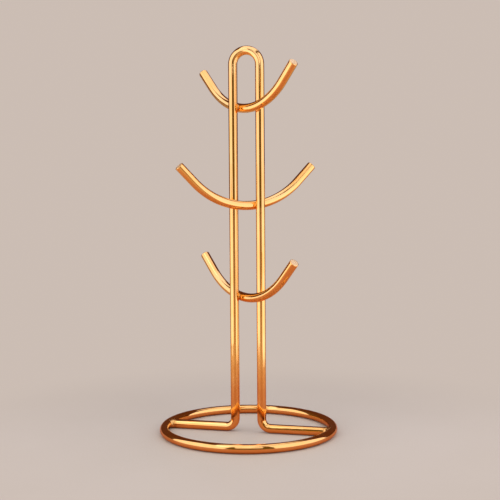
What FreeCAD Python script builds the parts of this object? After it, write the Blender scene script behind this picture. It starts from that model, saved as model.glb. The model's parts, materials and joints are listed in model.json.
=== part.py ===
import FreeCAD, Part
import math
import os
import Sketcher

# Mug tree: round rod bent and welded.  A closed ring lies on the table, one long rod bent to a
# hairpin stands on two legs inside the ring, and three bowed rods cross the hairpin to give six hooks.
#
# Frame: the table is Z = 0, the ring's axis is Z, the hairpin stands in the XZ plane.
# Every sub-part is an object whose sizes are bound to the sheet below, in millimetres and degrees.

SHEET_NAME = "Dimensions"
DIMENSIONS = {
    "rod_diameter": 8.0,
    "ring_diameter": 158.0,        # over the outside of the rod
    "total_height": 341.5,         # table to the top of the arch
    "upright_spacing": 24.3,       # centre to centre
    "leg_bend_radius": 8.0,        # to the rod's centre line
    "top_hook_height": 287.3,      # table to the rod's centre at its lowest point
    "middle_hook_height": 202.2,
    "bottom_hook_height": 120.6,
    "hook_arc_radius": 67.6,       # to the rod's centre line
    "hook_arc_half_angle": 45.7,   # from the lowest point to where the straight tip starts
    "hook_tip_length": 20.5,
    "end_rounding": 0.6,
    "weld_set_down": 0.8,          # how far crossing rods sink into each other
    "hook_weld_radius": 3.9,
    "leg_weld_radius": 5.3,
    "leg_weld_height": 7.8,
    "leg_root_gap": 0.5,           # between a leg's square end and the ring
    "ring_seam_angle": 1.2,        # the slice of weld metal that closes the ring
}

# Hook rods: name, height cell and which way the rod turns out of the hairpin's plane.
# -1 puts the right-hand tip in front (towards -Y), +1 puts it behind.
HOOK_RODS = (
    ("top", "top_hook_height", -1),
    ("middle", "middle_hook_height", 1),
    ("bottom", "bottom_hook_height", -1),
)
SIDES = (("left", -1), ("right", 1))
SAME_HEIGHT = 0.1  # edges whose centres are closer than this in height belong to the same level

os.makedirs("parts", exist_ok=True)
doc = FreeCAD.newDocument("MugTree")


def cell(name):
    """Expression that reads one cell of the sheet."""
    return f"{SHEET_NAME}.{name}"


ROD_RADIUS = f"{cell('rod_diameter')} / 2"
HALF_SPACING = f"{cell('upright_spacing')} / 2"
RING_CENTRE_RADIUS = f"({cell('ring_diameter')} - {cell('rod_diameter')}) / 2"
ARCH_HEIGHT = f"{cell('total_height')} - {ROD_RADIUS} - {HALF_SPACING}"
LEG_END = f"{RING_CENTRE_RADIUS} - {ROD_RADIUS} - {cell('leg_root_gap')}"
# Distance between the centre lines of two rods that cross and are welded.
CROSSING = f"({cell('rod_diameter')} - {cell('weld_set_down')})"
# Where an upright stands in a hook rod's own frame, along the rod's plane.
CROSSING_REACH = f"sqrt(pow({HALF_SPACING}; 2) - pow({CROSSING}; 2))"


def make_sheet():
    """Driving dimensions, one aliased cell each."""
    sheet = doc.addObject("Spreadsheet::Sheet", SHEET_NAME)
    for row, (name, value) in enumerate(DIMENSIONS.items(), start=1):
        sheet.set(f"A{row}", name)
        sheet.set(f"B{row}", str(value))
        sheet.setAlias(f"B{row}", name)
    doc.recompute()
    return sheet


def value_of(expression):
    """Number that an expression of the sheet's cells gives now, to place a sketch's first guess."""
    result = sheet.evalExpression(expression)
    return float(getattr(result, "Value", result))


def origin_plane(body, role):
    """One of a body's own origin planes."""
    return next(f for f in body.Origin.OriginFeatures if f.Role == role)


def make_body(label):
    """Empty body for one sub-part."""
    body = doc.addObject("PartDesign::Body", label)
    body.Label = label
    return body


def add_sketch(body, name, role):
    """Sketch on one of the body's origin planes."""
    sketch = body.newObject("Sketcher::SketchObject", name)
    sketch.AttachmentSupport = (origin_plane(body, role), "")
    sketch.MapMode = "FlatFace"
    return sketch


def bind(sketch, name, constraint, expression):
    """Add a driving constraint under a name and bind it to the sheet."""
    index = sketch.addConstraint(constraint)
    sketch.renameConstraint(index, name)
    sketch.setExpression(f"Constraints.{name}", expression)


def add_circle(sketch, name, centre, radius, centre_x, centre_y):
    """Circle with its radius and its centre bound to expressions."""
    circle = sketch.addGeometry(Part.Circle(centre, FreeCAD.Vector(0, 0, 1), value_of(radius)), False)
    bind(sketch, f"{name}_radius", Sketcher.Constraint("Radius", circle, value_of(radius)), radius)
    if centre_x is None:
        sketch.addConstraint(Sketcher.Constraint("PointOnObject", circle, 3, -2))
    else:
        constraint = Sketcher.Constraint("DistanceX", -1, 1, circle, 3, centre.x)
        bind(sketch, f"{name}_x", constraint, centre_x)
    if centre_y is None:
        sketch.addConstraint(Sketcher.Constraint("PointOnObject", circle, 3, -1))
    else:
        constraint = Sketcher.Constraint("DistanceY", -1, 1, circle, 3, centre.y)
        bind(sketch, f"{name}_y", constraint, centre_y)
    return circle


def add_arc(sketch, centre, radius, start_deg, end_deg):
    """Arc of a circle, counter-clockwise from start to end."""
    circle = Part.Circle(centre, FreeCAD.Vector(0, 0, 1), radius)
    arc = Part.ArcOfCircle(circle, math.radians(start_deg), math.radians(end_deg))
    return sketch.addGeometry(arc, False)


def add_line(sketch, start, end):
    """Straight segment."""
    return sketch.addGeometry(Part.LineSegment(start, end), False)


def add_mirrored_pipe(body, profile, spine):
    """Sweep the rod's section along half of a bend, then mirror it across the YZ plane."""
    pipe = body.newObject("PartDesign::AdditivePipe", "Rod")
    pipe.Profile = profile
    pipe.Spine = spine
    mirrored = body.newObject("PartDesign::Mirrored", "BothHalves")
    mirrored.Originals = [pipe]
    mirrored.MirrorPlane = (origin_plane(body, "YZ_Plane"), "")
    body.Tip = mirrored
    doc.recompute()
    return mirrored


def make_ring_arc(label, angle, middle_deg):
    """Stretch of the base ring that spans an angle, centred on a direction."""
    body = make_body(label)
    section = add_sketch(body, "RodSection", "XZ_Plane")
    centre = FreeCAD.Vector(value_of(RING_CENTRE_RADIUS), value_of(ROD_RADIUS), 0)
    add_circle(section, "rod", centre, ROD_RADIUS, RING_CENTRE_RADIUS, ROD_RADIUS)
    ring = body.newObject("PartDesign::Revolution", "Ring")
    ring.Profile = section
    ring.ReferenceAxis = (section, ["V_Axis"])
    ring.setExpression("Angle", angle)
    ring.Midplane = True
    body.Tip = ring
    body.Placement = FreeCAD.Placement(
        FreeCAD.Vector(0, 0, 0), FreeCAD.Rotation(FreeCAD.Vector(0, 0, 1), middle_deg))
    doc.recompute()
    return body


def make_upright_frame():
    """One rod: leg, bend, upright, half-round arch, upright, bend, leg."""
    body = make_body("upright_frame")
    rod_radius = value_of(ROD_RADIUS)
    half_spacing = value_of(HALF_SPACING)
    bend = value_of(cell("leg_bend_radius"))
    arch_height = value_of(ARCH_HEIGHT)
    leg_end = value_of(LEG_END)

    path = add_sketch(body, "HalfCentreLine", "XZ_Plane")
    bend_centre = FreeCAD.Vector(half_spacing + bend, rod_radius + bend, 0)
    bend_foot = FreeCAD.Vector(half_spacing + bend, rod_radius, 0)
    upright_foot = FreeCAD.Vector(half_spacing, rod_radius + bend, 0)
    upright_head = FreeCAD.Vector(half_spacing, arch_height, 0)
    leg = add_line(path, FreeCAD.Vector(leg_end, rod_radius, 0), bend_foot)
    corner = add_arc(path, bend_centre, bend, 180, 270)
    upright = add_line(path, upright_foot, upright_head)
    arch = add_arc(path, FreeCAD.Vector(0, arch_height, 0), half_spacing, 0, 90)
    path.addConstraint([
        Sketcher.Constraint("Horizontal", leg),
        Sketcher.Constraint("Vertical", upright),
        Sketcher.Constraint("Tangent", leg, 2, corner, 2),
        Sketcher.Constraint("Tangent", corner, 1, upright, 1),
        Sketcher.Constraint("Tangent", upright, 2, arch, 1),
        Sketcher.Constraint("PointOnObject", arch, 3, -2),
        Sketcher.Constraint("PointOnObject", arch, 2, -2),
    ])
    bind(path, "bend", Sketcher.Constraint("Radius", corner, bend), cell("leg_bend_radius"))
    bind(path, "arch", Sketcher.Constraint("Radius", arch, half_spacing), HALF_SPACING)
    bind(path, "arch_height", Sketcher.Constraint("DistanceY", -1, 1, arch, 3, arch_height), ARCH_HEIGHT)
    bind(path, "leg_height", Sketcher.Constraint("DistanceY", -1, 1, leg, 1, rod_radius), ROD_RADIUS)
    bind(path, "leg_end", Sketcher.Constraint("DistanceX", -1, 1, leg, 1, leg_end), LEG_END)

    section = add_sketch(body, "RodSection", "YZ_Plane")
    section.setExpression("AttachmentOffset.Base.z", LEG_END)
    add_circle(section, "rod", FreeCAD.Vector(0, rod_radius, 0), ROD_RADIUS, None, ROD_RADIUS)
    add_mirrored_pipe(body, section, path)
    return body


def round_ends(body, feature):
    """Break the sharp rim of both square-cut ends of a rod, the two circles with the highest centres."""
    closed = {f"Edge{i}": e for i, e in enumerate(feature.Shape.Edges, start=1) if e.isClosed()}
    tip_height = max(edge.CenterOfMass.z for edge in closed.values())
    rims = [name for name, edge in closed.items() if edge.CenterOfMass.z > tip_height - SAME_HEIGHT]
    fillet = body.newObject("PartDesign::Fillet", "RoundedRims")
    fillet.Base = (feature, rims)
    fillet.setExpression("Radius", cell("end_rounding"))
    body.Tip = fillet
    doc.recompute()


def make_hook_rod(name, height_cell, turn):
    """One rod bowed to a smile, with a straight tip at each end and a seat at each upright."""
    body = make_body(f"{name}_hook_rod")
    arc_radius = value_of(cell("hook_arc_radius"))
    half_angle = value_of(cell("hook_arc_half_angle"))
    tip_length = value_of(cell("hook_tip_length"))
    slope = math.radians(half_angle)
    bend_end = FreeCAD.Vector(arc_radius * math.sin(slope), arc_radius * (1 - math.cos(slope)), 0)
    along_tip = FreeCAD.Vector(math.cos(slope), math.sin(slope), 0)

    path = add_sketch(body, "HalfCentreLine", "XZ_Plane")
    bow = add_arc(path, FreeCAD.Vector(0, arc_radius, 0), arc_radius, 270, 270 + half_angle)
    tip = add_line(path, bend_end, bend_end + along_tip * tip_length)
    path.addConstraint([
        Sketcher.Constraint("Coincident", bow, 1, -1, 1),
        Sketcher.Constraint("PointOnObject", bow, 3, -2),
        Sketcher.Constraint("Tangent", bow, 2, tip, 1),
    ])
    bind(path, "bow", Sketcher.Constraint("Radius", bow, arc_radius), cell("hook_arc_radius"))
    bind(path, "tip", Sketcher.Constraint("Distance", tip, tip_length), cell("hook_tip_length"))
    bind(path, "slope", Sketcher.Constraint("Angle", -1, 1, tip, 1, slope),
         f"{cell('hook_arc_half_angle')} * 1 deg")

    section = add_sketch(body, "RodSection", "YZ_Plane")
    add_circle(section, "rod", FreeCAD.Vector(0, 0, 0), ROD_RADIUS, None, None)
    rod = add_mirrored_pipe(body, section, path)
    round_ends(body, rod)

    seats = add_sketch(body, "UprightSeats", "XY_Plane")
    for side, sign in SIDES:
        across = -sign * turn
        centre = FreeCAD.Vector(sign * value_of(CROSSING_REACH), across * value_of(CROSSING), 0)
        add_circle(seats, side, centre, ROD_RADIUS,
                   f"{sign} * {CROSSING_REACH}", f"{across} * {CROSSING}")
    cut = body.newObject("PartDesign::Pocket", "Seats")
    cut.Profile = seats
    cut.Type = "ThroughAll"
    cut.Midplane = True
    body.Tip = cut

    body.Placement = FreeCAD.Placement(
        FreeCAD.Vector(0, 0, 0), FreeCAD.Rotation(FreeCAD.Vector(0, 0, 1), 1))
    body.setExpression("Placement.Base.z", cell(height_cell))
    body.setExpression("Placement.Rotation.Angle", f"{turn} * asin({CROSSING} / ({HALF_SPACING}))")
    doc.recompute()
    return body


def cut_away(label, base, tools):
    """What is left of a solid once the parts that it joins are taken out of it."""
    for number, tool in enumerate(tools, start=1):
        last = number == len(tools)
        cut = doc.addObject("Part::Cut", label if last else f"{label}_{number}")
        cut.Base = base
        cut.Tool = tool
        base = cut
    base.Label = label
    doc.recompute()
    return base


def make_hook_weld(name, height_cell, turn, side, sign, frame, hook_rod):
    """Weld metal in the corner round the place where a hook rod crosses an upright."""
    label = f"{name}_{side}_weld"
    bead = doc.addObject("Part::Sphere", f"{label}_bead")
    bead.setExpression("Radius", cell("hook_weld_radius"))
    # The rods touch half a centre distance out from the upright, square to the hook rod's plane.
    across = f"{sign * turn} * {CROSSING} / 2"
    sine = f"({CROSSING} / ({HALF_SPACING}))"
    cosine = f"sqrt(1 - pow({sine}; 2))"
    bow = cell("hook_arc_radius")
    rise = f"({bow} - sqrt(pow({bow}; 2) - pow({CROSSING_REACH}; 2)))"
    bead.setExpression("Placement.Base.x", f"{sign} * {HALF_SPACING} - {sign} * {CROSSING} / 2 * {sine}")
    bead.setExpression("Placement.Base.y", f"{across} * {cosine}")
    bead.setExpression("Placement.Base.z", f"{cell(height_cell)} + {rise}")
    doc.recompute()
    return cut_away(label, bead, (frame, hook_rod))


def make_leg_weld(side, sign, frame, ring):
    """Weld metal between a leg's end and the inside of the ring, ground back flush above and below."""
    label = f"{side}_leg_weld"
    bead = doc.addObject("Part::Sphere", f"{label}_bead")
    bead.setExpression("Radius", cell("leg_weld_radius"))
    latitude = f"asin({cell('leg_weld_height')} / 2 / {cell('leg_weld_radius')})"
    bead.setExpression("Angle1", f"-{latitude}")
    bead.setExpression("Angle2", latitude)
    bead.setExpression("Placement.Base.x", f"{sign} * ({LEG_END} + {cell('leg_root_gap')})")
    bead.setExpression("Placement.Base.z", ROD_RADIUS)
    doc.recompute()
    return cut_away(label, bead, (frame, ring))


def make_all():
    """Every sub-part, in the order the maker would weld them."""
    ring = make_ring_arc("base_ring", f"360 deg - {cell('ring_seam_angle')} * 1 deg", -90)
    seam = make_ring_arc("ring_seam_weld", f"{cell('ring_seam_angle')} * 1 deg", 90)
    frame = make_upright_frame()
    parts = [ring, seam, frame]
    for side, sign in SIDES:
        parts.append(make_leg_weld(side, sign, frame, ring))
    for name, height_cell, turn in HOOK_RODS:
        hook_rod = make_hook_rod(name, height_cell, turn)
        parts.append(hook_rod)
        for side, sign in SIDES:
            parts.append(make_hook_weld(name, height_cell, turn, side, sign, frame, hook_rod))
    return parts


def check_document():
    """Stop if any object of the document failed to build."""
    for item in doc.Objects:
        if "Invalid" in item.State or "Error" in item.State:
            raise RuntimeError(f"{item.Label}: {item.State}")


def export(parts):
    """One STEP file for each sub-part, named by its label."""
    for part in parts:
        shape = part.Shape
        if shape.isNull() or not shape.isValid() or len(shape.Solids) != 1:
            raise RuntimeError(f"{part.Label} isn't one valid solid")
        shape.exportStep(f"parts/{part.Label}.step")
        box = shape.BoundBox
        print(f"{part.Label}: {shape.Volume:.1f} mm3, z {box.ZMin:.2f} to {box.ZMax:.2f}")


sheet = make_sheet()
sub_parts = make_all()
doc.recompute()
check_document()
export(sub_parts)
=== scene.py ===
"""Mug tree of polished, gold-plated round rod, with its welds, on a pale studio floor.

Every length is in metres and every piece is made where it stands: +Z up, +X to the right along the
two legs, +Y to the back, and the table at Z = 0.
"""
import json
import logging
from dataclasses import dataclass, field
from enum import Enum
from math import asin, atan2, ceil, copysign, cos, hypot, pi, radians, sin, sqrt, tau
from typing import Callable

import bmesh
import bpy
from bmesh.types import BMesh, BMVert
from bpy.types import AreaLight, Material, Node, NodeSocket, NodeTree, Object
from mathutils import Matrix, Vector


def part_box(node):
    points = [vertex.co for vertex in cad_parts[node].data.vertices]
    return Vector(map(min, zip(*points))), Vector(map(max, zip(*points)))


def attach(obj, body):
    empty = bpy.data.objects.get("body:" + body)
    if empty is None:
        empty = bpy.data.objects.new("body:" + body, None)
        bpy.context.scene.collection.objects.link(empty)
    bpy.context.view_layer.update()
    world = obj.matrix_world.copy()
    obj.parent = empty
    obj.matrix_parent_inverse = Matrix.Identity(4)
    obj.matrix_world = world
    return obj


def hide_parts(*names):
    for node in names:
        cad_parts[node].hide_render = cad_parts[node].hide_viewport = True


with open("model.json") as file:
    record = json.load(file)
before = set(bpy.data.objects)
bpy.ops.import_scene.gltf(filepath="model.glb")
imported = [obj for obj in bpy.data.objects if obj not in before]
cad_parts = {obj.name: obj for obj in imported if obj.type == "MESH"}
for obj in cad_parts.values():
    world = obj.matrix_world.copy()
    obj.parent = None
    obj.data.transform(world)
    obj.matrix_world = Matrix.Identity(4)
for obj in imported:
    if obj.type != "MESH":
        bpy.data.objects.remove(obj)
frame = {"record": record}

LOG = logging.getLogger("mug_tree")

MM = 0.001
BUFFED_AWAY = 0.003 * MM  # how far a rod's skin lies inside its nominal surface
QUARTER_TURN = pi / 2.0
RIGHT = Vector((1.0, 0.0, 0.0))
FRONT = Vector((0.0, -1.0, 0.0))
UP = Vector((0.0, 0.0, 1.0))
SIDES_SLOT = 0  # material slots of a rod
FACES_SLOT = 1

Colour = tuple[float, float, float]
Stretch = tuple[float, float, float]
Band = tuple[float, float]
Section = tuple[list[BMVert], float]

WHOLE: Band = (0.0, 1.0)


class Side(Enum):
    """Which half of the stand a piece belongs to, as seen from the front."""

    LEFT = -1
    RIGHT = 1

    @property
    def word(self) -> str:
        """The side as the names of pieces spell it."""
        return self.name.lower()


class Weave(Enum):
    """How a hook rod passes the two uprights; the value is the sense of its turn about Z."""

    RIGHT_END_IN_FRONT = -1
    RIGHT_END_BEHIND = 1


class RodEnd(Enum):
    """How a rod's ends are finished; the value is the share of the full rounding of their rims."""

    SAWN = 1.0
    BUTTED = 0.3


class Wear(Enum):
    """Named surface states, and painted shade, that a mesh carries as point attributes for its finish to
    read.
    """

    RUB = "rub"
    # painted shade: how deep a point lies in a corner by a weld or the ring, for the plating to darken
    CREVICE = "crevice"


# ---- Rod: a centre line of straight runs and bends, and the metal round it ----


@dataclass(frozen=True)
class Station:
    """One point of a rod's centre line."""

    place: Vector  # where it is
    heading: Vector  # unit vector along the rod
    travel: float  # length of rod up to here
    curvature: float  # one over the bend radius, signed like the turn, or 0 on a straight run


class CentreLine:
    """A rod's centre line, laid out in one plane as a bender would: run, turn, run."""

    def __init__(self, start: Vector, heading: Vector, plane_normal: Vector) -> None:
        """Start at a point, along a heading; positive turns go round the plane's normal."""
        self.normal = plane_normal.normalized()
        self.stations = [Station(start.copy(), heading.normalized(), 0.0, 0.0)]

    def _add(self, place: Vector, heading: Vector, step: float, curvature: float) -> None:
        """Add one station a step further on."""
        travel = self.stations[-1].travel + step
        self.stations.append(Station(place, heading, travel, curvature))

    def run(self, length: float, step: float) -> None:
        """Go straight on.

        Args:
            length: how far.
            step: longest spacing between stations.
        """
        count = max(1, ceil(length / step))
        for _ in range(count):
            last = self.stations[-1]
            place = last.place + last.heading * (length / count)
            self._add(place, last.heading.copy(), length / count, 0.0)

    def turn(self, radius: float, angle: float, step: float) -> None:
        """Bend round an arc.

        Args:
            radius: bend radius of the centre line.
            angle: how far to turn, in radians, positive about the plane's normal.
            step: longest spacing between stations.
        """
        sense = copysign(1.0, angle)
        first = self.stations[-1]
        centre = first.place + self.normal.cross(first.heading) * radius * sense
        spoke = first.place - centre
        count = max(2, ceil(abs(angle) * radius / step))
        for index in range(1, count + 1):
            rotation = Matrix.Rotation(angle * index / count, 3, self.normal)
            place = centre + rotation @ spoke
            self._add(place, rotation @ first.heading, abs(angle) * radius / count, sense / radius)


@dataclass
class RodSweep:
    """Turns a centre line into the surface of a round rod."""

    radius: float  # radius of the rod
    facets: int = 64  # vertices round one section
    rim: float = 0.6 * MM  # rounding of a sawn end's edge
    rim_steps: int = 6  # sections that make up the rounding
    # sections inside an end's face, as shares of its radius
    face_shares: tuple[float, ...] = (0.97, 0.7, 0.4, 0.12)
    # slack in telling a face's sections from the rim's, as a share of the radius
    face_margin: float = 0.01
    dish: float = 0.06 * MM  # how far a ground face stands proud at its middle
    # share of the radius lost on the outside of a bend as tight as the rod is thick
    flattening: float = 0.12
    spread: float = 0.03  # share of the radius gained square to the bend
    evening: int = 2  # stations to each side over which a change of bend is evened out
    mesh: BMesh = field(init=False)  # the rod being made
    line: CentreLine = field(init=False)  # its centre line

    def build(self, name: str, line: CentreLine, ends: RodEnd) -> Object:
        """Make the rod.

        Args:
            name: name of the object.
            line: centre line to follow.
            ends: finish of both ends.

        Returns:
            The new object, with its UVs in metres along and round the rod.
        """
        self.mesh = bmesh.new()
        self.line = line
        between = list(zip(line.stations, self._tightness()))[1:-1]
        sides = [(self._ring(station, tightness), station.travel) for station, tightness in between]
        first = self._end(line.stations[0], ends, -1.0)
        last = self._end(line.stations[-1], ends, 1.0)
        self._skin(first[::-1] + sides + last)
        self.mesh.normal_update()
        return object_from(self.mesh, name)

    def _tightness(self) -> list[float]:
        """How tight the bend is at each station.

        Returns:
            Rod radius over bend radius, signed, evened out over the neighbours.
        """
        raw = [self.radius * station.curvature for station in self.line.stations]
        smooth = []
        for index in range(len(raw)):
            window = raw[max(0, index - self.evening):index + self.evening + 1]
            smooth.append(sum(window) / len(window))
        return smooth

    def _ring(
        self, station: Station, tightness: float = 0.0, scale: float = 1.0, ahead: float = 0.0,
    ) -> list[BMVert]:
        """Ring of vertices round one station.

        Args:
            station: where the section is.
            tightness: rod radius over bend radius, signed.
            scale: share of the full radius.
            ahead: shift along the heading.

        Returns:
            The ring's vertices, in order.
        """
        inward = self.line.normal.cross(station.heading)
        sense = copysign(1.0, tightness)
        strain = tightness * tightness
        ring = []
        for facet in range(self.facets):
            angle = tau * facet / self.facets
            outer_side = max(0.0, -sense * cos(angle))
            across = self.radius * scale * (1.0 - self.flattening * strain * outer_side ** 2)
            sideways = self.radius * scale * (1.0 + self.spread * strain)
            offset = inward * cos(angle) * across + self.line.normal * sin(angle) * sideways
            ring.append(self.mesh.verts.new(station.place + offset + station.heading * ahead))
        return ring

    def _end(self, station: Station, kind: RodEnd, outward: float) -> list[Section]:
        """Close one end.

        Args:
            station: the end's station.
            kind: how the end is finished.
            outward: 1 where the heading points out of the end, or -1.

        Returns:
            The end's sections, from the sides over the rim to the middle of the face.
        """
        rim = self.rim * kind.value
        profile = []
        for step in range(self.rim_steps + 1):
            swing = QUARTER_TURN * step / self.rim_steps
            scale = 1.0 - rim * (1.0 - cos(swing)) / self.radius
            profile.append((scale, -rim * (1.0 - sin(swing))))
        face = 1.0 - rim / self.radius
        for share in self.face_shares:
            rise = self.dish * (1.0 - share ** 2) if kind is RodEnd.SAWN else 0.0
            profile.append((face * share, rise))
        sections = []
        for scale, ahead in profile:
            ring = self._ring(station, scale=scale, ahead=outward * ahead)
            sections.append((ring, station.travel + outward * ahead))
        cap = sections[-1][0]
        self.mesh.faces.new(cap if outward < 0.0 else cap[::-1]).material_index = FACES_SLOT
        return sections

    def _skin(self, sections: list[Section]) -> None:
        """Join the sections with faces and lay the UVs out in metres.

        Args:
            sections: sections in order, each with its travel along the rod.
        """
        uv_layer = self.mesh.loops.layers.uv.new("along_rod")
        girth = tau * self.radius
        for (near, near_travel), (far, far_travel) in zip(sections, sections[1:]):
            slot = FACES_SLOT if self._on_face(near, far) else SIDES_SLOT
            for facet in range(self.facets):
                following = (facet + 1) % self.facets
                quad = self.mesh.faces.new((near[facet], near[following], far[following], far[facet]))
                quad.material_index = slot
                quad.smooth = True
                corners = (
                    (near_travel, facet), (near_travel, facet + 1),
                    (far_travel, facet + 1), (far_travel, facet),
                )
                for loop, (travel, step) in zip(quad.loops, corners):
                    loop[uv_layer].uv = (travel, girth * step / self.facets)

    def _on_face(self, near: list[BMVert], far: list[BMVert]) -> bool:
        """Whether the band between two rings lies on an end's ground face.

        Args:
            near: one ring.
            far: the other.

        Returns:
            True if both are narrow enough.
        """
        half = self.facets // 2
        widest = max((ring[0].co - ring[half].co).length for ring in (near, far)) / 2.0
        return widest < self.radius * (1.0 - self.rim / self.radius + self.face_margin)


def object_from(mesh: BMesh, name: str) -> Object:
    """Turn a finished bmesh into a linked object and free it.

    Args:
        mesh: the mesh data.
        name: name of the object and its mesh.

    Returns:
        The new object.
    """
    data = bpy.data.meshes.new(name)
    mesh.to_mesh(data)
    mesh.free()
    made = bpy.data.objects.new(name, data)
    bpy.context.scene.collection.objects.link(made)
    return made


@dataclass(frozen=True)
class Falloff:
    """Smooth fall of an effect with distance."""

    full: float  # distance up to which the effect is whole
    gone: float  # distance from which there is none

    def at(self, distance: float) -> float:
        """Share of the effect at a distance."""
        share = min(1.0, max(0.0, (self.gone - distance) / (self.gone - self.full)))
        return share * share * (3.0 - 2.0 * share)


WELD_CORNER_SHADE = Falloff(2.4 * MM, 5.0 * MM)  # how far the painted shade reaches round the contact of two crossing rods


def store_wear_and_shade(piece: Object, wear: Wear, amount: Callable[[Vector], float]) -> None:
    """Write a surface state or painted shade on every vertex of a piece, by what gives it as 0 to 1 for
    a point.
    """
    attribute = piece.data.attributes.new(wear.value, "FLOAT", "POINT")
    attribute.data.foreach_set("value", [amount(vertex.co) for vertex in piece.data.vertices])


# ---- Finishes ----


@dataclass(frozen=True)
class Layer:
    """One layer of noise on a finish."""

    scale: float  # features for each metre
    octaves: float = 3.0  # how many finer copies are added
    fineness: float = 0.5  # weight of the finer copies
    band: Band = WHOLE  # noise values between which the layer comes in
    stretch: Stretch = (1.0, 1.0, 1.0)  # factor on each axis of the coordinates, before the scale


@dataclass(frozen=True)
class Relief:
    """How a layer shapes the surface."""

    depth: float  # depth of a full step
    strength: float  # share of the effect


class NodeBench:
    """Lays out the nodes of a material, a light or the world."""

    def __init__(self, tree: NodeTree) -> None:
        """Take up a node tree."""
        self.nodes = tree.nodes
        self.links = tree.links

    def wire(self, source: NodeSocket, target: NodeSocket) -> None:
        """Link two sockets."""
        self.links.new(source, target)

    def add(self, kind: str, feeds: dict[str | int, object] | None = None, **settings: object) -> Node:
        """Add a node.

        Args:
            kind: type of the node.
            feeds: what goes into its inputs, each a socket to link or a plain value.
            settings: the node's own properties.

        Returns:
            The new node.
        """
        node = self.nodes.new(kind)
        for key, value in settings.items():
            setattr(node, key, value)
        for key, value in (feeds or {}).items():
            if isinstance(value, NodeSocket):
                self.wire(value, node.inputs[key])
            else:
                node.inputs[key].default_value = value
        return node

    def remap(
        self, source: NodeSocket, band: Band, onto: Band = WHOLE, easing: str = "LINEAR",
    ) -> NodeSocket:
        """Stretch a range of values onto another and clamp it.

        Args:
            source: value to read.
            band: values that give the two ends of the result.
            onto: result at those values.
            easing: how the result goes from one end to the other.

        Returns:
            The result's socket.
        """
        ends = ("From Min", "From Max", "To Min", "To Max")
        feeds = {"Value": source, **dict(zip(ends, (*band, *onto)))}
        node = self.add("ShaderNodeMapRange", feeds, clamp=True, interpolation_type=easing)
        return node.outputs["Result"]

    def combine(self, operation: str, first: NodeSocket, second: NodeSocket | float) -> NodeSocket:
        """One step of arithmetic, clamped to 0 to 1."""
        feeds = {0: first, 1: second}
        return self.add("ShaderNodeMath", feeds, operation=operation, use_clamp=True).outputs["Value"]

    def mix(self, factor: NodeSocket, first: NodeSocket, second: NodeSocket) -> NodeSocket:
        """Mix two shaders: 0 gives the first, 1 the second."""
        return self.add("ShaderNodeMixShader", {"Fac": factor, 1: first, 2: second}).outputs["Shader"]


class MaterialBench(NodeBench):
    """Lays out one material round its shader."""

    def __init__(self, name: str) -> None:
        """Start a material with a Principled shader and its output.

        Args:
            name: name of the material.
        """
        self.material = bpy.data.materials.new(name)
        self.material.use_nodes = True
        super().__init__(self.material.node_tree)
        self.nodes.clear()
        self.shader = self.add("ShaderNodeBsdfPrincipled")
        self.output = self.add("ShaderNodeOutputMaterial", {"Surface": self.shader.outputs["BSDF"]})

    def coordinates(self, name: str) -> NodeSocket:
        """One of the built-in texture coordinates."""
        return self.add("ShaderNodeTexCoord").outputs[name]

    def wear(self, wear: Wear) -> NodeSocket:
        """A surface state or painted shade stored on the mesh."""
        node = self.add("ShaderNodeAttribute", attribute_type="GEOMETRY", attribute_name=wear.value)
        return node.outputs["Fac"]

    def noise(self, source: NodeSocket, layer: Layer) -> NodeSocket:
        """Noise value between 0 and 1.

        Args:
            source: coordinates.
            layer: the noise's sizes.

        Returns:
            The noise's value socket.
        """
        mapping = self.add("ShaderNodeMapping", {"Vector": source, "Scale": layer.stretch})
        feeds = {"Scale": layer.scale, "Detail": layer.octaves, "Roughness": layer.fineness}
        feeds["Vector"] = mapping.outputs["Vector"]
        return self.add("ShaderNodeTexNoise", feeds).outputs["Fac"]

    def blend(
        self, factor: NodeSocket, first: NodeSocket | Colour, second: NodeSocket | Colour,
    ) -> NodeSocket:
        """Mix two colours.

        Args:
            factor: 0 for the first, 1 for the second.
            first: colour or a socket that gives one.
            second: the same.

        Returns:
            The mixed colour's socket.
        """
        feeds = {"Factor": factor}
        for key, paint in (("A", first), ("B", second)):
            feeds[key] = paint if isinstance(paint, NodeSocket) else (*paint, 1.0)
        return self.add("ShaderNodeMix", feeds, data_type="RGBA").outputs["Result"]

    def bump(self, height: NodeSocket, relief: Relief, under: NodeSocket | None = None) -> NodeSocket:
        """Surface relief from a height.

        Args:
            height: height from 0 to 1.
            relief: how deep and how strong.
            under: normal that this relief rides on.

        Returns:
            The bumped normal's socket.
        """
        feeds = {"Height": height, "Distance": relief.depth, "Strength": relief.strength}
        if under is not None:
            feeds["Normal"] = under
        return self.add("ShaderNodeBump", feeds).outputs["Normal"]

    def finish(
        self, colour: NodeSocket, roughness: NodeSocket, normal: NodeSocket, metallic: float = 1.0,
    ) -> Material:
        """Feed the shader.

        Args:
            colour: its base colour.
            roughness: its roughness.
            normal: its normal.
            metallic: 1 for bare metal, 0 for anything else.

        Returns:
            The material.
        """
        for name, source in (("Base Color", colour), ("Roughness", roughness), ("Normal", normal)):
            self.wire(source, self.shader.inputs[name])
        self.shader.inputs["Metallic"].default_value = metallic
        return self.material


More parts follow.
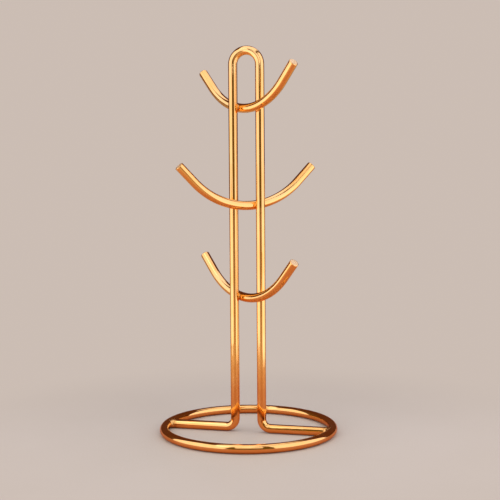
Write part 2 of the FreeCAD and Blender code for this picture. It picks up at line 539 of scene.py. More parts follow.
@dataclass(frozen=True)
class PolishedPlate:
    """Bright gold-tone plating over drawn rod: buffed, a little uneven, with a few marks, and painted
    shade in the corners by the welds.
    """

    gold: Colour = (1.0, 0.60, 0.175)  # reflectance of clean plating
    deep_gold: Colour = (0.97, 0.55, 0.135)  # reflectance where the plating is thicker and redder
    rubbed: Colour = (1.0, 0.65, 0.22)  # reflectance where mug handles have burnished it
    crevice: Colour = (0.72, 0.38, 0.08)  # painted shade: darker reflectance in the corners by the welds and the ring, which the buffing wheel also misses
    roughness: Band = (0.035, 0.125)  # roughness of the clearest and of the haziest areas
    clouds: Layer = Layer(55.0, 3.0, 0.55, (0.35, 0.7))  # slow changes of the plating's colour
    smears: Layer = Layer(170.0, 4.0, 0.6, (0.48, 0.72), (1.0, 1.0, 0.35))  # patches of haze
    # lines that the buffing wheel leaves along the rod
    buffing: Layer = Layer(1.0, 2.0, 0.6, (0.35, 0.75), (60.0, 5200.0, 1.0))
    hairlines: Layer = Layer(1.0, 1.0, 0.4, (0.66, 0.70), (35.0, 2100.0, 1.0))  # scratches along the rod
    pits: Layer = Layer(2600.0, 1.0, 0.5, (0.76, 0.82))  # pinholes in the plating
    bends: Layer = Layer(95.0, 1.5, 0.4)  # unevenness left by the bending
    # values of the smears, and how much burnishing shows at them
    rub_patches: tuple[Band, Band] = ((0.3, 0.6), (0.35, 1.0))
    # values of the clouds, and how much of the painted corner shade shows at them
    corner_shade_patches: tuple[Band, Band] = ((0.2, 0.6), (0.6, 1.0))
    # roughness added by buffing lines, hairlines, burnishing, corners and pits
    coarsening: tuple[float, ...] = (0.03, 0.12, 0.08, 0.22, 0.1)
    bend_relief: Relief = Relief(0.16 * MM, 0.55)  # relief of the bends
    buffing_relief: Relief = Relief(0.0005 * MM, 0.5)  # relief of the buffing lines
    pit_relief: Relief = Relief(0.002 * MM, 0.2)  # relief of the pits

    def material(self) -> Material:
        """Build the material.

        Returns:
            The new material.
        """
        bench = MaterialBench("polished_plate")
        place = bench.coordinates("Object")
        along = bench.coordinates("UV")
        clouds = bench.noise(place, self.clouds)
        smears = bench.noise(place, self.smears)
        buffing = bench.noise(along, self.buffing)
        hairlines = bench.remap(bench.noise(along, self.hairlines), self.hairlines.band)
        pits = bench.remap(bench.noise(place, self.pits), self.pits.band)
        rub_shown = bench.remap(smears, *self.rub_patches)
        rub = bench.combine("MULTIPLY", bench.wear(Wear.RUB), rub_shown)
        # painted shade in the corners by the welds and the ring, also made rougher below
        corner_shade_shown = bench.remap(clouds, *self.corner_shade_patches)
        corner = bench.combine("MULTIPLY", bench.wear(Wear.CREVICE), corner_shade_shown)

        colour = bench.blend(bench.remap(clouds, self.clouds.band), self.gold, self.deep_gold)
        colour = bench.blend(rub, colour, self.rubbed)
        # lay the painted corner shade into the colour
        colour = bench.blend(corner, colour, self.crevice)

        rough = bench.remap(smears, self.smears.band, self.roughness)
        marks = (bench.remap(buffing, self.buffing.band), hairlines, rub, corner, pits)
        for mark, extra in zip(marks, self.coarsening):
            rough = bench.combine("ADD", rough, bench.remap(mark, WHOLE, (0.0, extra)))

        bent = bench.bump(bench.noise(place, self.bends), self.bend_relief)
        buffed = bench.bump(buffing, self.buffing_relief, bent)
        pitted = bench.bump(bench.combine("SUBTRACT", rough, pits), self.pit_relief, buffed)
        return bench.finish(colour, rough, pitted)


@dataclass(frozen=True)
class GroundFace:
    """The plated end of a rod: sawn, ground across and plated, so it keeps fine straight marks."""

    gold: Colour = (1.0, 0.79, 0.40)  # reflectance of the face
    dull: Colour = (0.97, 0.70, 0.31)  # reflectance in the grinding marks
    roughness: Band = (0.46, 0.62)  # lowest and highest roughness
    marks: Layer = Layer(1.0, 2.0, 0.7, (0.4, 0.75), (900.0, 5200.0, 900.0))  # the grinding marks
    clouds: Layer = Layer(420.0, 3.0, 0.5, (0.3, 0.7))  # slow changes of the marks' strength
    unevenness: Band = (0.7, 1.3)  # factor on the marks at the two ends of the clouds
    # strength of the marks that gives the lowest and the highest roughness
    coarse_marks: Band = (0.25, 0.75)
    relief: Relief = Relief(0.003 * MM, 0.4)  # relief of the marks

    def material(self) -> Material:
        """Build the material.

        Returns:
            The new material.
        """
        bench = MaterialBench("ground_face")
        place = bench.coordinates("Object")
        marks = bench.noise(place, self.marks)
        clouds = bench.remap(bench.noise(place, self.clouds), self.clouds.band, self.unevenness)
        colour = bench.blend(bench.remap(marks, self.marks.band), self.gold, self.dull)
        rough = bench.remap(bench.combine("MULTIPLY", marks, clouds), self.coarse_marks, self.roughness)
        return bench.finish(colour, rough, bench.bump(marks, self.relief))


@dataclass(frozen=True)
class PlatedWeld:
    """Weld metal under the same plating: satin, rippled, with painted shade that darkens its hollows."""

    gold: Colour = (0.97, 0.59, 0.17)  # reflectance on the crests
    hollow: Colour = (0.74, 0.40, 0.09)  # painted shade: darker reflectance meant for the hollows between them, laid on where the lump noise is high
    roughness: Band = (0.12, 0.30)  # roughness on the crests and in the hollows
    lumps: Layer = Layer(900.0, 3.0, 0.6, (0.35, 0.65))  # the crests and hollows
    grain: Layer = Layer(4200.0, 2.0, 0.6, (0.3, 0.7))  # fine grain over them
    grain_share: Band = (0.6, 1.0)  # factor on the hollows at the two ends of the grain
    lump_relief: Relief = Relief(0.06 * MM, 0.5)  # relief of the lumps
    grain_relief: Relief = Relief(0.006 * MM, 0.3)  # relief of the grain

    def material(self) -> Material:
        """Build the material.

        Returns:
            The new material.
        """
        bench = MaterialBench("plated_weld")
        place = bench.coordinates("Object")
        lumps = bench.noise(place, self.lumps)
        grain = bench.noise(place, self.grain)
        lump_height = bench.remap(lumps, self.lumps.band)
        mixed = bench.combine("MULTIPLY", lump_height, bench.remap(grain, self.grain.band, self.grain_share))
        rough = bench.remap(mixed, WHOLE, self.roughness)
        normal = bench.bump(grain, self.grain_relief, bench.bump(lumps, self.lump_relief))
        # painted shade: the hollow colour follows the lump noise that also gives the relief
        return bench.finish(bench.blend(lump_height, self.gold, self.hollow), rough, normal)


@dataclass(frozen=True)
class PaleFloor:
    """Smooth pale plaster with a faint bloom, running out into the backdrop."""

    light: Colour = (0.435, 0.385, 0.24)  # colour of the lighter patches
    shade: Colour = (0.41, 0.36, 0.22)  # colour of the darker patches
    painted_reflection: Colour = (0.36, 0.135, 0.05)  # painted reflection: darker, browner colour that the floor shows only in polished metal, close by
    painted_reflection_far: Colour = (0.47, 0.31, 0.15)  # the same further out
    # distances from the middle between which the one goes over into the other
    mirror_change: Band = (0.18, 0.40)
    backdrop: Colour = (0.60, 0.51, 0.455)  # colour that it runs out into, as the camera sees it
    run_out: Band = (0.09, 0.34)  # distances between which it runs out
    roughness: Band = (0.5, 0.66)  # lowest and highest roughness
    patches: Layer = Layer(3.5, 4.0, 0.55, (0.35, 0.65))  # the lighter and darker patches
    grain: Layer = Layer(700.0, 3.0, 0.6, (0.3, 0.7))  # fine grain of the plaster
    relief: Relief = Relief(0.08 * MM, 0.25)  # relief of the grain

    def material(self) -> Material:
        """Build the material.

        Returns:
            The new material.
        """
        bench = MaterialBench("pale_floor")
        place = bench.coordinates("Object")
        path = bench.add("ShaderNodeLightPath")
        reach = bench.add("ShaderNodeVectorMath", {0: place}, operation="LENGTH").outputs["Value"]
        grain = bench.noise(place, self.grain)
        patches = bench.remap(bench.noise(place, self.patches), self.patches.band)
        plaster = bench.blend(patches, self.light, self.shade)
        painted_reflection = bench.blend(bench.remap(reach, self.mirror_change), self.painted_reflection, self.painted_reflection_far)
        # painted reflection: polished metal sees the floor in another colour than the camera does
        colour = bench.blend(path.outputs["Is Glossy Ray"], plaster, painted_reflection)
        rough = bench.remap(grain, self.grain.band, self.roughness)
        bench.finish(colour, rough, bench.bump(grain, self.relief), metallic=0.0)

        far = bench.remap(reach, self.run_out, easing="SMOOTHSTEP")
        far = bench.combine("MULTIPLY", far, path.outputs["Is Camera Ray"])
        glow = bench.add("ShaderNodeEmission", {"Color": (*self.backdrop, 1.0)}).outputs["Emission"]
        bench.wire(bench.mix(far, bench.shader.outputs["BSDF"], glow), bench.output.inputs["Surface"])
        return bench.material


@dataclass
class Finishes:
    """The materials that the pieces share."""

    plate: Material  # for the sides of every rod
    face: Material  # for sawn ends
    weld: Material  # for weld metal

    @classmethod
    def make(cls) -> "Finishes":
        """Build each finish once."""
        return cls(PolishedPlate().material(), GroundFace().material(), PlatedWeld().material())

    def dress(self, piece: Object, node: str, slot: str) -> None:
        """Give a piece its materials, make it stand for its CAD node and let it ride with the stand.

        Args:
            piece: finished object.
            node: CAD node that it replaces.
            slot: material slot of the record.
        """
        coats = {"gold_finish": (self.plate, self.face), "weld_metal": (self.weld,)}
        for material in coats[slot]:
            piece.data.materials.append(material)
        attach(piece, "root")
        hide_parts(node)
        LOG.info("%s: %d faces", piece.name, len(piece.data.polygons))


# ---- Sub-assemblies ----


@dataclass
class Gauge:
    """Sizes and finishes that every piece shares."""

    rod_radius: float = field(init=False)  # radius of the rod, as the hook mounts state it
    ring_radius: float = field(init=False)  # radius of the ring's centre line
    height: float = field(init=False)  # top of the arch
    half_spacing: float = 12.15 * MM  # from the middle to an upright's centre line
    set_down: float = 0.8 * MM  # how far crossing rods sink into each other
    finishes: Finishes = field(default_factory=Finishes.make)

    def __post_init__(self) -> None:
        """Read the sizes that the frame knows."""
        hook = next(mount for mount in frame["record"]["mounts"] if mount["kind"] == "pin")
        self.rod_radius = hook["dims"]["r_mm"] * MM
        self.ring_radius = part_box("base_ring")[1].x - self.rod_radius
        self.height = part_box("upright_frame")[1].z

    @property
    def crossing(self) -> float:
        """Distance between the centre lines of two crossing rods."""
        return 2.0 * self.rod_radius - self.set_down

    @property
    def hook_turn(self) -> float:
        """Angle between a hook rod's plane and the uprights' plane."""
        return asin(self.crossing / self.half_spacing)

    def sweep(self) -> RodSweep:
        """What skins a length of the rod, as buffed."""
        return RodSweep(self.rod_radius - BUFFED_AWAY)


@dataclass
class BaseRing:
    """The ring on the table and the weld that closes it at the back."""

    gauge: Gauge
    seam_angle: float = radians(1.2)  # stretch of the ring that is weld metal
    seam_cover: float = 1.4  # length of the seam over that stretch: it laps onto the rod's ends
    step: float = 1.5 * MM  # spacing of the ring's sections
    seam_step: float = 0.2 * MM  # spacing of the seam's sections
    seam_rim: float = 0.1 * MM  # full rounding of the seam's edges
    seam_sink: float = 0.05 * MM  # how far the ground seam lies under the rod's surface
    seam_ripple: float = 0.025 * MM  # height of what is left of its ripples
    # ripples round the seam, and the slower wave that breaks them up
    waves: tuple[float, float] = (9.0, 4.0)
    wave_turn: float = 1.0  # shift of the slower wave, in radians
    table_rub: Falloff = Falloff(0.1 * MM, 0.6 * MM)  # rubbing by the table, by height
    # depth of the painted corner shade, by distance from a leg's axis on the ring
    by_leg: Falloff = Falloff(5.5 * MM, 9.0 * MM)
    # depth of the painted corner shade, by distance outwards from the ring's centre line
    inner_side: Falloff = Falloff(-1.0 * MM, 1.5 * MM)

    def _arc(self, middle: float, angle: float, step: float) -> CentreLine:
        """Centre line of a stretch of the ring.

        Args:
            middle: direction of its middle.
            angle: angle that it covers.
            step: longest spacing between stations.

        Returns:
            The centre line.
        """
        start = middle - angle / 2.0
        radius = self.gauge.ring_radius
        place = Vector((radius * cos(start), radius * sin(start), self.gauge.rod_radius))
        line = CentreLine(place, Vector((-sin(start), cos(start), 0.0)), UP)
        line.turn(radius, angle, step)
        return line

    def build(self) -> None:
        """Make the ring and its seam."""
        ring_line = self._arc(-QUARTER_TURN, tau - self.seam_angle, self.step)
        ring = self.gauge.sweep().build("ring", ring_line, RodEnd.BUTTED)
        store_wear_and_shade(ring, Wear.RUB, lambda point: self.table_rub.at(point.z))
        store_wear_and_shade(ring, Wear.CREVICE, self._corner)
        self.gauge.finishes.dress(ring, "base_ring", "gold_finish")

        seam_sweep = RodSweep(self.gauge.rod_radius - self.seam_sink, rim=self.seam_rim)
        seam_line = self._arc(QUARTER_TURN, self.seam_angle * self.seam_cover, self.seam_step)
        seam = seam_sweep.build("ring_seam", seam_line, RodEnd.BUTTED)
        self._ripple(seam)
        self.gauge.finishes.dress(seam, "ring_seam_weld", "weld_metal")

    def _corner(self, point: Vector) -> float:
        """Depth of the painted shade in the corner round the nearer leg's end.

        Args:
            point: point of the ring.

        Returns:
            0 away from it to 1 in the corner.
        """
        leg_x = copysign(self.gauge.ring_radius, point.x)
        leg = Vector((leg_x, 0.0, self.gauge.rod_radius))
        outward = hypot(point.x, point.y) - self.gauge.ring_radius
        return self.by_leg.at((point - leg).length) * self.inner_side.at(outward)

    def _ripple(self, seam: Object) -> None:
        """Leave faint ripples round the ground seam.

        Args:
            seam: the seam, changed in place.
        """
        quick, slow = self.waves
        for vertex in seam.data.vertices:
            spoke = Vector((vertex.co.x, vertex.co.y, 0.0)).normalized()
            centre = spoke * self.gauge.ring_radius + UP * self.gauge.rod_radius
            out = vertex.co - centre
            angle = atan2(out.z, out.dot(spoke))
            wave = sin(quick * angle) * cos(slow * angle + self.wave_turn)
            vertex.co -= out.normalized() * self.seam_ripple * (0.5 + 0.5 * wave)


@dataclass
class UprightFrame:
    """One rod bent to leg, upright, arch, upright, leg."""

    gauge: Gauge
    bend_radius: float = 8.0 * MM  # centre-line radius of the bends above the legs
    root_gap: float = 0.5 * MM  # space between a leg's square end and the ring
    straight_step: float = 2.5 * MM  # spacing of sections on straight runs
    bend_step: float = 0.6 * MM  # spacing of sections in bends
    by_ring: Falloff = Falloff(1.5 * MM, 4.0 * MM)  # depth of the painted corner shade, by distance from a leg's end
    # burnishing where the stand is picked up, by distance below the top
    handled: Falloff = Falloff(6.0 * MM, 45.0 * MM)
    handled_most: float = 0.7  # burnishing of the arch itself

    @property
    def leg_end(self) -> float:
        """Distance from the middle to a leg's end."""
        return self.gauge.ring_radius - self.gauge.rod_radius - self.root_gap

    def centre_line(self) -> CentreLine:
        """Lay out the rod from the left leg's end to the right leg's end.

        Returns:
            The centre line.
        """
        gauge = self.gauge
        leg = self.leg_end - gauge.half_spacing - self.bend_radius
        upright = gauge.height - 2.0 * gauge.rod_radius - gauge.half_spacing - self.bend_radius
        line = CentreLine(Vector((-self.leg_end, 0.0, gauge.rod_radius)), RIGHT, FRONT)
        line.run(leg, self.straight_step)
        line.turn(self.bend_radius, QUARTER_TURN, self.bend_step)
        line.run(upright, self.straight_step)
        line.turn(gauge.half_spacing, -pi, self.bend_step)
        line.run(upright, self.straight_step)
        line.turn(self.bend_radius, QUARTER_TURN, self.bend_step)
        line.run(leg, self.straight_step)
        return line

    def build(self, crossings: list[Vector]) -> None:
        """Make the frame.

        Args:
            crossings: middle of each weld to a hook rod.
        """
        rod = self.gauge.sweep().build("hairpin", self.centre_line(), RodEnd.BUTTED)
        store_wear_and_shade(rod, Wear.RUB, self._handling)
        store_wear_and_shade(rod, Wear.CREVICE, lambda point: self._corner(point, crossings))
        self.gauge.finishes.dress(rod, "upright_frame", "gold_finish")

    def _corner(self, point: Vector, crossings: list[Vector]) -> float:
        """Depth of the painted shade in the nearest corner by a weld or the ring.

        Args:
            point: point of the rod.
            crossings: middle of each weld to a hook rod.

        Returns:
            0 away from the welds to 1 in the corner.
        """
        above_leg = max(0.0, point.z - 2.0 * self.gauge.rod_radius)
        from_end = abs(abs(point.x) - self.leg_end) + above_leg
        from_hook = min((point - spot).length for spot in crossings)
        return max(WELD_CORNER_SHADE.at(from_hook), self.by_ring.at(from_end))

    def _handling(self, point: Vector) -> float:
        """Burnishing by hands, over the arch."""
        return self.handled_most * self.handled.at(self.gauge.height - point.z)


def build_bead(finishes: Finishes, name: str, node: str, sections: list[list[Vector]]) -> None:
    """Make a weld from closed sections that go round in a ring.

    Args:
        finishes: shared materials.
        name: name of the object.
        node: CAD node that it replaces.
        sections: points of each section, all equally many.
    """
    mesh = bmesh.new()
    rows = [[mesh.verts.new(point) for point in section] for section in sections]
    for row, following in zip(rows, rows[1:] + rows[:1]):
        for step in range(len(row)):
            after = (step + 1) % len(row)
            face = mesh.faces.new((row[step], row[after], following[after], following[step]))
            face.smooth = True
    bmesh.ops.recalc_face_normals(mesh, faces=mesh.faces)
    finishes.dress(object_from(mesh, name), node, "weld_metal")


@dataclass
class LegWeld:
    """Fillet of weld metal between a leg's end and the inside of the ring."""

    gauge: Gauge
    side: Side  # which leg
    toe_on_leg: float = 2.4 * MM  # how far back along the leg the weld starts
    toe_wander: float = 0.15 * MM  # how far that start wanders to and fro
    toe_waves: float = 11.0  # how often it does so, round the leg
    toe_turn: float = 1.0  # shift of that wave, in radians
    flank_reach: float = 1.9 * MM  # how far beside the leg the weld spreads along the ring
    crown_height: float = 0.93  # share of the rod's radius that it climbs on the ring
    sag: float = 0.35  # how far the face sags: 0 is straight, 1 is bowed well into the corner
    ripple: float = 0.07 * MM  # height of the ripples
    ripples: int = 22  # ripples round the leg
    slant: float = 5.0  # how far a ripple runs on round the leg from toe to toe, in radians of its wave
    lean: float = 0.5  # how far the ripples lean back along the leg, as a slope
    table_gap: float = 0.06 * MM  # space under the weld
    top_gap: float = 0.02 * MM  # how far it stays under the top of the rods
    root_depth: float = 1.5 * MM  # how far into the ring its root goes
    sink: float = 0.3  # how far the hidden edges are drawn in towards the root, as a share
    turns: int = 132  # sections round the leg
    steps: int = 12  # sections across the fillet

    def _ring_toe(self, angle: float) -> Vector:
        """Point on the ring where the weld ends.

        Args:
            angle: direction round the leg.

        Returns:
            The point, on the right-hand side of the stand.
        """
        radius = self.gauge.rod_radius
        crown = self.crown_height * radius
        reach = crown + (radius - crown + self.flank_reach) * cos(angle) ** 2
        beside = reach * cos(angle)
        above = reach * sin(angle)
        wall = self.gauge.ring_radius - sqrt(max(0.0, radius ** 2 - above ** 2))
        return Vector((sqrt(wall ** 2 - beside ** 2), beside, radius + above))

    def _across(self, angle: float, share: float) -> Vector:
        """Point of the fillet's face.

        Args:
            angle: direction round the leg.
            share: 0 at the leg, 1 at the ring.

        Returns:
            The point, on the right-hand side of the stand.
        """
        radius = self.gauge.rod_radius
        wall = self.gauge.ring_radius - radius
        start = wall - self.toe_on_leg - self.toe_wander * sin(self.toe_waves * angle + self.toe_turn)
        low = Vector((start, radius * cos(angle), radius + radius * sin(angle)))
        high = self._ring_toe(angle)
        corner = Vector((wall, low.y, low.z))
        straight = low.lerp(high, share)
        curved = low.lerp(corner, share).lerp(corner.lerp(high, share), share)
        point = straight.lerp(curved, self.sag)
        wave = sin(self.ripples * angle + self.slant * share) * sin(pi * share)
        out = Vector((-self.lean, cos(angle), sin(angle))).normalized()
        point += out * self.ripple * wave
        point.z = min(max(point.z, self.table_gap), 2.0 * radius - self.top_gap)
        return point

    def _section(self, angle: float) -> list[Vector]:
        """Closed section of the fillet in one direction round the leg.

        Args:
            angle: direction round the leg.

        Returns:
            Points from the leg's surface to the ring's, then two back inside the metal.
        """
        root = Vector((self.gauge.ring_radius - self.gauge.rod_radius, 0.0, self.gauge.rod_radius))
        row = [self._across(angle, step / self.steps) for step in range(self.steps + 1)]
        in_ring = row[-1].lerp(root + RIGHT * self.root_depth, self.sink)
        in_leg = row[0].lerp(root, self.sink)
        turn = self.side.value
        return [Vector((point.x * turn, point.y * turn, point.z)) for point in [*row, in_ring, in_leg]]

    def build(self) -> None:
        """Make the weld."""
        sections = [self._section(tau * turn / self.turns) for turn in range(self.turns)]
        word = self.side.word
        build_bead(self.gauge.finishes, f"{word}_leg_fillet", f"{word}_leg_weld", sections)


@dataclass
class HookRod:
    """One rod bowed to a smile, with a straight tip at each end and a weld at each upright."""

    gauge: Gauge
    name: str  # top, middle or bottom
    weave: Weave  # how it passes the uprights
    bow_radius: float = 67.6 * MM
    half_angle: float = radians(45.7)  # from the lowest point to where the tip starts
    tip_length: float = 20.5 * MM  # length of a straight tip
    step: float = 1.2 * MM  # spacing of the sections
    rub_middle: float = 31.0 * MM  # distance from the middle of the rod where handles rub most
    rub_along: Falloff = Falloff(5.0 * MM, 19.0 * MM)  # burnishing, by distance along the rod from there
    rub_upper: Falloff = Falloff(-1.0 * MM, 2.0 * MM)  # burnishing, by distance below the centre line
    rub_most: float = 0.85  # burnishing at its most
    placement: Matrix = field(init=False)  # from the rod's own frame to the stand's

    def __post_init__(self) -> None:
        """Find where the rod goes: bowed in XZ at the origin, then turned and lifted to its height."""
        low_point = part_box(self.node)[0].z + self.gauge.rod_radius
        turn = Matrix.Rotation(self.weave.value * self.gauge.hook_turn, 4, "Z")
        self.placement = Matrix.Translation(UP * low_point) @ turn

    @property
    def node(self) -> str:
        """CAD node that the rod stands for."""
        return f"{self.name}_hook_rod"

    def crossing_point(self, side: Side) -> Vector:
        """Middle of the contact with an upright, in the rod's own frame.

        Args:
            side: which upright.

        Returns:
            The point.
        """
        reach = sqrt(self.gauge.half_spacing ** 2 - self.gauge.crossing ** 2)
        rise = self.bow_radius - sqrt(self.bow_radius ** 2 - reach ** 2)
        across = -side.value * self.weave.value * self.gauge.crossing / 2.0
        return Vector((side.value * reach, across, rise))

    def crossings(self) -> list[Vector]:
        """Both contacts, in the stand's frame."""
        return [self.placement @ self.crossing_point(side) for side in Side]

    def centre_line(self) -> CentreLine:
        """Lay out the rod from its left tip to its right tip.

        Returns:
            The centre line, in the rod's own frame.
        """
        down, along_x = sin(self.half_angle), cos(self.half_angle)
        along = Vector((along_x, 0.0, -down))
        bow_start = Vector((-self.bow_radius * down, 0.0, self.bow_radius * (1.0 - along_x)))
        line = CentreLine(bow_start - along * self.tip_length, along, FRONT)
        line.run(self.tip_length, self.step)
        line.turn(self.bow_radius, 2.0 * self.half_angle, self.step)
        line.run(self.tip_length, self.step)
        return line

    def build(self) -> None:
        """Make the rod and its two welds."""
        rod = self.gauge.sweep().build(f"{self.name}_hooks", self.centre_line(), RodEnd.SAWN)
        store_wear_and_shade(rod, Wear.RUB, self._rubbing)
        store_wear_and_shade(rod, Wear.CREVICE, self._corner)
        rod.data.transform(self.placement)
        self.gauge.finishes.dress(rod, self.node, "gold_finish")
        for side in Side:
            HookWeld(self, side).build()

    def _corner(self, point: Vector) -> float:
        """Depth of the painted shade in the corner by the nearer weld."""
        return WELD_CORNER_SHADE.at(min((point - self.crossing_point(side)).length for side in Side))

    def _rubbing(self, point: Vector) -> float:
        """Burnishing by mug handles, on the upper side between the uprights and the tips.

        Args:
            point: point of the rod, in its own frame.

        Returns:
            0 to rub_most.
        """
        centre_height = self.bow_radius - sqrt(max(0.0, self.bow_radius ** 2 - point.x ** 2))
        upper = self.rub_upper.at(centre_height - point.z)
        return self.rub_most * upper * self.rub_along.at(abs(abs(point.x) - self.rub_middle))


@dataclass
class HookWeld:
    """Ring of weld metal in the corner round the contact of a hook rod and an upright."""

    rod: HookRod  # hook rod that it holds
    side: Side  # which upright
    reach: float = 3.55 * MM  # distance of the weld's toe from the contact
    wander: float = 0.03  # how far that distance wanders, as a share
    lobes: float = 2.0  # how often it does so, round the contact
    lobe_turn: float = 0.7  # shift of that wave, in radians
    inner_share: float = 0.55  # distance of the hidden edge from the contact, as a share of the toe's
    hollow: float = 0.45 * MM  # how far the fillet's face sags between the rods
    ripple: float = 0.06 * MM  # height of the ripples
    ripples: int = 13  # ripples round the contact
    unevenness: float = 0.8  # how far the ripples bunch up, in radians of their wave
    bunches: float = 3.0  # how often they do so, round the contact
    turns: int = 96  # sections round the contact
    steps: int = 8  # sections across the fillet
    sink: float = 0.12 * MM  # how far the toes go under the rods' surfaces
    contact: Vector = field(init=False)  # middle of the contact, in the hook rod's own frame
    to_rod: Vector = field(init=False)  # direction from the upright to the hook rod
    rod_way: Vector = field(init=False)  # direction of the hook rod at the contact

    def __post_init__(self) -> None:
        """Find the contact and the directions there."""
        self.contact = self.rod.crossing_point(self.side)
        self.to_rod = Vector((0.0, -copysign(1.0, self.contact.y), 0.0))
        slope = asin(self.contact.x / self.rod.bow_radius)
        self.rod_way = Vector((cos(slope), 0.0, sin(slope)))

    def _surfaces(self, spot: Vector) -> Band:
        """Where the two rods' surfaces are, beside the contact.

        Args:
            spot: place beside the contact, from its middle.

        Returns:
            Offsets of the upright's and the hook rod's surface, towards the hook rod.
        """
        radius = self.rod.gauge.rod_radius
        half = self.rod.gauge.crossing / 2.0
        off_rod = (spot - self.rod_way * spot.dot(self.rod_way)).length
        near = sqrt(max(0.0, radius ** 2 - spot.x ** 2)) - half
        return near, half - sqrt(max(0.0, radius ** 2 - off_rod ** 2))

    def _section(self, angle: float) -> list[Vector]:
        """Closed section of the fillet in one direction round the contact.

        Args:
            angle: direction, from level towards up.

        Returns:
            Points from the upright's surface to the rod's, then one back inside the metal.
        """
        outward = RIGHT * cos(angle) + UP * sin(angle)
        wave = sin(self.ripples * angle + self.unevenness * sin(self.bunches * angle))
        toe = self.reach * (1.0 + self.wander * sin(self.lobes * angle + self.lobe_turn))
        near, far = self._surfaces(outward * toe)
        section = []
        for step in range(self.steps + 1):
            share = step / self.steps
            swell = sin(pi * share)
            distance = toe - self.hollow * swell + self.ripple * wave * swell
            depth = near - self.sink + (far - near + 2.0 * self.sink) * share
            section.append(self.contact + outward * distance + self.to_rod * depth)
        inside = outward * (toe * self.inner_share)
        section.append(self.contact + inside + self.to_rod * (0.5 * sum(self._surfaces(inside))))
        return section

    def build(self) -> None:
        """Make the weld."""
        turns = [tau * turn / self.turns for turn in range(self.turns)]
        sections = [[self.rod.placement @ point for point in self._section(angle)] for angle in turns]
        label = f"{self.rod.name}_{self.side.word}"
        build_bead(self.rod.gauge.finishes, f"{label}_bead", f"{label}_weld", sections)


# ---- Studio ----


def towards(azimuth: float, elevation: float = 0.0) -> Vector:
    """Direction out from the stand.

    Args:
        azimuth: in degrees, from the front towards the right.
        elevation: height above level, in degrees.

    Returns:
        The unit vector.
    """
    turn = radians(azimuth)
    rise = radians(elevation)
    return Vector((sin(turn) * cos(rise), -cos(turn) * cos(rise), sin(rise)))


@dataclass(frozen=True)
class SoftBox:
    """A flat diffused light that stands round the stand and faces it."""

    name: str
    azimuth: float  # direction it stands in, in degrees from the front towards the right
    elevation: float  # height of that direction above the floor, in degrees
    distance: float  # from the point that it faces
    width: float
    height: float
    radiance: float  # brightness of the panel's middle
    edge: float = 0.25  # share of the panel's half width over which it fades out
    colour: Colour = (0.70, 0.68, 1.0)
    target: float = 0.16  # height of the point that it faces

    def build(self) -> None:
        """Put the light in the scene, unseen by the camera itself."""
        data = bpy.data.lights.new(self.name, "AREA")
        data.shape = "RECTANGLE"
        data.size = self.width
        data.size_y = self.height
        data.energy = self.radiance * self.width * self.height * pi
        data.color = self.colour
        self._soften(data)
        light = bpy.data.objects.new(self.name, data)
        bpy.context.scene.collection.objects.link(light)
        out = towards(self.azimuth, self.elevation)
        light.location = UP * self.target + out * self.distance
        light.rotation_mode = "QUATERNION"
        light.rotation_quaternion = out.to_track_quat("Z", "Y")
        light.visible_camera = False

    def _soften(self, data: AreaLight) -> None:
        """Fade the light out towards the panel's edges, as a diffuser does.

        Args:
            data: the light, changed in place.
        """
        data.use_nodes = True
        bench = NodeBench(data.node_tree)
        emission = next(node for node in bench.nodes if node.type == "EMISSION")
        spot = bench.add("ShaderNodeNewGeometry").outputs["Parametric"]
        split = bench.add("ShaderNodeSeparateXYZ", {"Vector": spot})
        fades = []
        for axis in ("X", "Y"):
            feeds = {0: split.outputs[axis], 1: 0.5}
            inwards = bench.add("ShaderNodeMath", feeds, operation="PINGPONG").outputs["Value"]
            fades.append(bench.remap(inwards, (0.0, 0.5 * self.edge), easing="SMOOTHSTEP"))
        bench.wire(bench.combine("MULTIPLY", *fades), emission.inputs["Strength"])


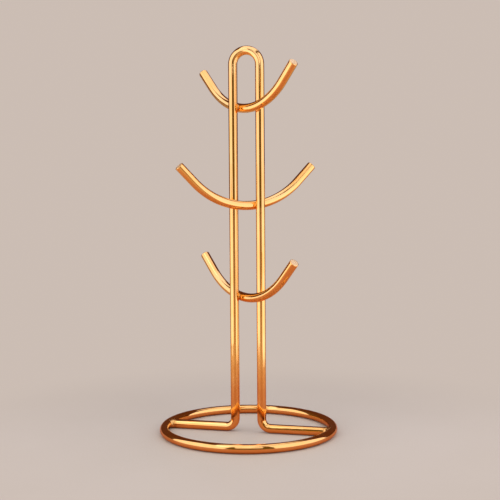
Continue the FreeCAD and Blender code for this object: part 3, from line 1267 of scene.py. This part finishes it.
@dataclass
class Studio:
    """Pale floor, soft light and the camera."""

    floor_radius: float = 6.0
    floor_sides: int = 128  # sides of its outline
    backdrop: Colour = PaleFloor.backdrop  # colour behind everything, as the camera sees it
    fill: Colour = (0.90, 0.88, 1.20)  # soft light that reaches the floor from all round
    # dim colour that polished metal reflects from the front of the room
    room_front: Colour = (0.16, 0.105, 0.03)
    room_back: Colour = (0.11, 0.036, 0.018)  # the same from the back of the room
    # how far back a direction points, from -1 to 1, where the change between them begins and ends
    room_change: Band = (-0.4, 0.4)
    camera_azimuth: float = 14.75  # where the camera stands, in degrees from the front towards the right
    camera_distance: float = 0.9465  # level distance from the stand's axis
    camera_height: float = 0.2328  # height of the lens
    look_azimuth: float = 14.61  # direction that the lens looks back along, in degrees
    look_down: float = 4.22  # tilt below level, in degrees
    # turn about the lens's own axis, in degrees, negative leans the picture to the left
    look_roll: float = -0.39
    lens: float = 77.4  # focal length in millimetres
    film_width: float = 36.0  # width of the frame in millimetres
    clip: Band = (0.05, 50.0)  # nearest and furthest distance that the camera sees
    # each panel's name, azimuth, elevation, distance, width, height, radiance and edge
    lights: tuple[SoftBox, ...] = (
        SoftBox("left_panel", -51.0, 0.0, 0.42, 0.71, 0.80, 1.62, 0.10, target=0.38),
        SoftBox("right_panel", 82.5, 0.0, 0.34, 0.56, 0.80, 1.62, 0.10, target=0.38),
        SoftBox("front_panel", 15.0, 29.5, 0.85, 0.55, 0.42, 1.50, 0.15),
        SoftBox("top_panel", -10.0, 80.0, 0.90, 0.85, 1.35, 1.60, 0.2),
        SoftBox("rear_panel", 160.0, 50.0, 0.90, 0.36, 0.36, 1.45, 0.3, target=0.30),
    )

    def build(self) -> None:
        """Make the floor, the room, the lights and the camera."""
        self._floor()
        self._room()
        for light in self.lights:
            light.build()
        self._camera()

    def _floor(self) -> None:
        """Round floor, level with the table."""
        mesh = bmesh.new()
        bmesh.ops.create_circle(mesh, cap_ends=True, segments=self.floor_sides, radius=self.floor_radius)
        floor = object_from(mesh, "studio_floor")
        floor.data.materials.append(PaleFloor().material())

    def _room(self) -> None:
        """Pale backdrop for the camera, soft fill for the floor, dim room for polished metal."""
        world = bpy.data.worlds.new("studio_room")
        bpy.context.scene.world = world
        world.use_nodes = True
        bench = NodeBench(world.node_tree)
        bench.nodes.clear()
        backdrop, fill, front, back = (
            bench.add("ShaderNodeBackground", {"Color": (*colour, 1.0)}).outputs["Background"]
            for colour in (self.backdrop, self.fill, self.room_front, self.room_back)
        )
        direction = bench.add("ShaderNodeTexCoord").outputs["Generated"]
        depth = bench.add("ShaderNodeSeparateXYZ", {"Vector": direction}).outputs["Y"]
        dim_room = bench.mix(bench.remap(depth, self.room_change), front, back)
        path = bench.add("ShaderNodeLightPath")
        surface = bench.mix(path.outputs["Is Glossy Ray"], fill, dim_room)
        surface = bench.mix(path.outputs["Is Camera Ray"], surface, backdrop)
        bench.add("ShaderNodeOutputWorld", {"Surface": surface})
        bpy.context.scene.view_settings.view_transform = "Standard"

    def _camera(self) -> None:
        """Camera in front and to the right, a little above the middle of the stand."""
        data = bpy.data.cameras.new("camera")
        data.lens = self.lens
        data.sensor_width = self.film_width
        data.clip_start, data.clip_end = self.clip
        camera = bpy.data.objects.new("camera", data)
        bpy.context.scene.collection.objects.link(camera)
        camera.location = towards(self.camera_azimuth) * self.camera_distance + UP * self.camera_height
        roll = Matrix.Rotation(radians(self.look_roll), 3, "Z")
        tilt = Matrix.Rotation(QUARTER_TURN - radians(self.look_down), 3, "X")
        turn = Matrix.Rotation(radians(self.look_azimuth), 3, "Z")
        camera.rotation_euler = (turn @ tilt @ roll).to_euler()
        bpy.context.scene.camera = camera


def corners(box: tuple[Vector, Vector]) -> list[list[float]]:
    """A box's two corners as plain numbers."""
    return [list(corner) for corner in box]


def main() -> None:
    """Build the stand piece by piece, then the studio round it."""
    logging.basicConfig(level=logging.INFO, format="%(name)s: %(message)s")
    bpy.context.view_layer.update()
    gauge = Gauge()
    hook_rods = [
        HookRod(gauge, "top", Weave.RIGHT_END_IN_FRONT),
        HookRod(gauge, "middle", Weave.RIGHT_END_BEHIND),
        HookRod(gauge, "bottom", Weave.RIGHT_END_IN_FRONT),
    ]
    BaseRing(gauge).build()
    UprightFrame(gauge).build([spot for rod in hook_rods for spot in rod.crossings()])
    for side in Side:
        LegWeld(gauge, side).build()
    for rod in hook_rods:
        rod.build()
    Studio().build()


if __name__ == "__main__":
    main()
